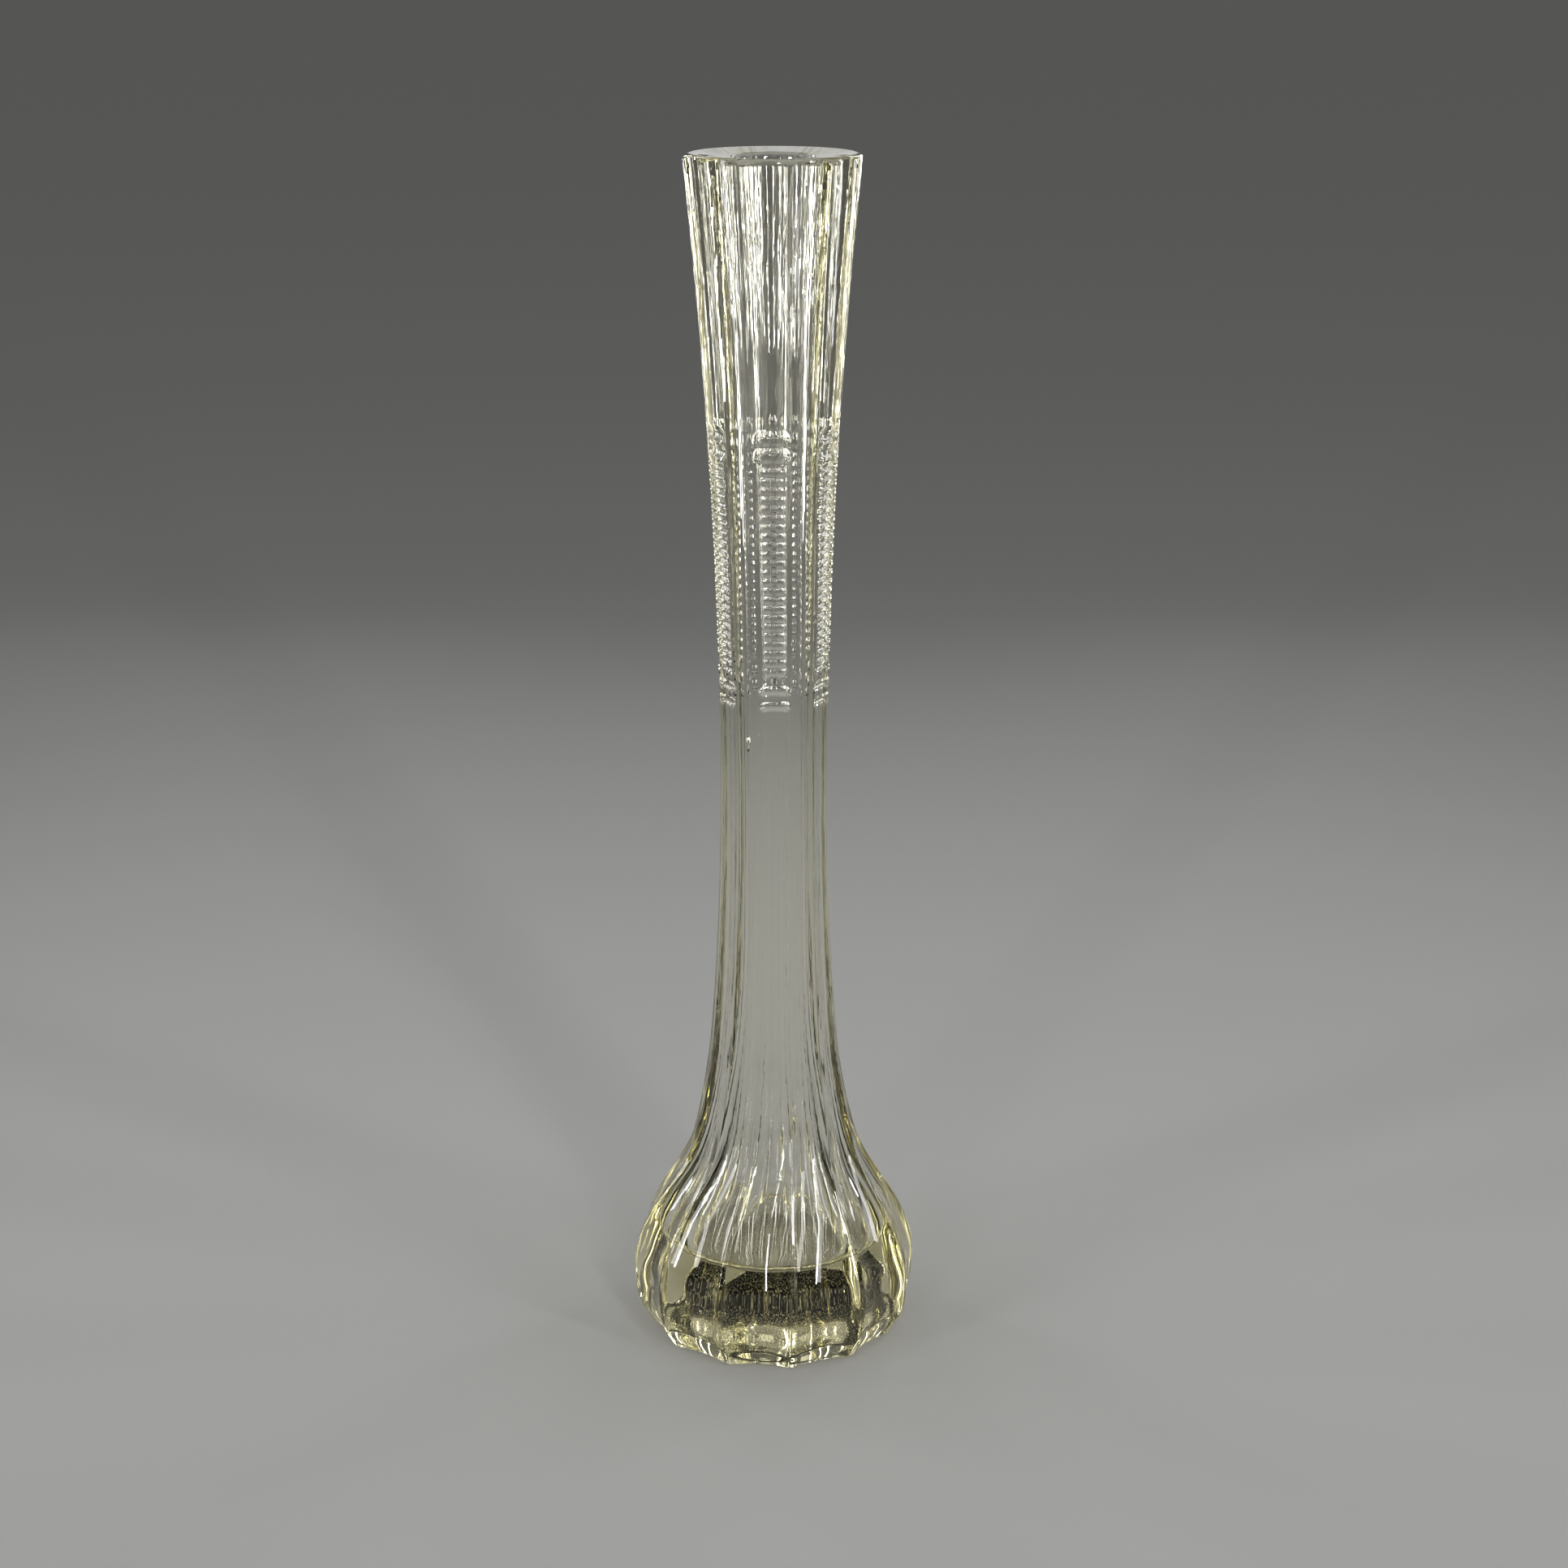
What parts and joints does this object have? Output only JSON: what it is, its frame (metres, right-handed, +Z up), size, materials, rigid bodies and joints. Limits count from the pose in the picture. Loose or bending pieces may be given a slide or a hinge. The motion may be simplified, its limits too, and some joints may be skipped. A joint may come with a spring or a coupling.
{
  "type": "glass bud vase",
  "caption": "Tall fluted pressed glass bud vase with a flared rim, a patterned band, a narrow bore and a heavy lobed base.",
  "frame": {"origin": "centre of the flat foot, on the surface that the vase stands on", "axes": "+Z up along the bore to the rim, -Y towards the middle of the front patterned panel"},
  "size_m": [0.0484, 0.0484, 0.2],
  "materials": {
    "glass": "clear pressed glass, fire polished, straw tinted where it is thick"
  },
  "bodies": {
    "root": {"vase_body": "glass"}
  },
  "joints": []
}
